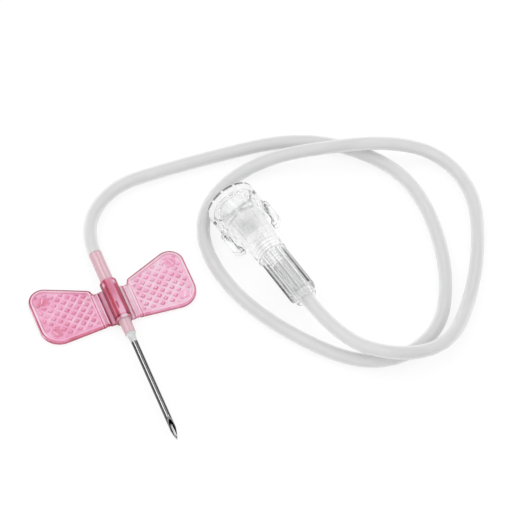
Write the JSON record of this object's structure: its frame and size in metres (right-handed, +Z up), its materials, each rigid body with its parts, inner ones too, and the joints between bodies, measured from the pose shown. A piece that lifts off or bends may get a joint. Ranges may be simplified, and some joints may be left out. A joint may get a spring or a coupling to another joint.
{
  "type": "winged infusion set",
  "caption": "Butterfly needle: bevelled steel needle with folding pink wings, a long soft clear tube, and a fluted luer connector closed by a screw cap.",
  "frame": {"origin": "on the table under the middle of the needle assembly, half way between the needle's tip and the end of the pink tail", "axes": "the needle points along -Y, the wings spread along X, +Z is up; the set lies on z = 0 with its bevel facing up"},
  "size_m": [0.0876, 0.0603, 0.0099],
  "materials": {
    "needle_steel": "bright drawn stainless steel",
    "adhesive": "cured clear adhesive, milky at its edge",
    "pink_tube": "tinted soft vinyl, smooth",
    "pink_moulding": "translucent tinted moulding, glossy",
    "clear_tube": "soft clear vinyl, slightly frosted",
    "clear_plastic": "clear moulded plastic, glossy"
  },
  "bodies": {
    "needle_set": {"needle_cannula": "needle_steel", "needle_adhesive": "adhesive", "hub_tube": "pink_tube", "wing_sleeve": "pink_moulding", "tubing": "clear_tube", "luer_connector": "clear_plastic"},
    "right_wing": {"right_wing": "pink_moulding"},
    "left_wing": {"left_wing": "pink_moulding"},
    "cap": {"luer_cap": "clear_plastic"}
  },
  "joints": [
    {"name": "right_wing_fold", "type": "hinge", "parent": "needle_set", "child": "right_wing", "pos_m": [0.0025, 0.0104, 0.00047], "axis": [0, -1, 0], "range_deg": [0, 88]},
    {"name": "left_wing_fold", "type": "hinge", "parent": "needle_set", "child": "left_wing", "pos_m": [-0.0025, 0.0104, 0.00047], "axis": [0, 1, 0], "range_deg": [0, 88]},
    {"name": "cap_twist", "type": "hinge", "parent": "needle_set", "child": "cap", "pos_m": [0.0269, 0.0223, 0.00495], "axis": [-0.2011, 0.9796, 0], "range_deg": [0, 180]}
  ]
}
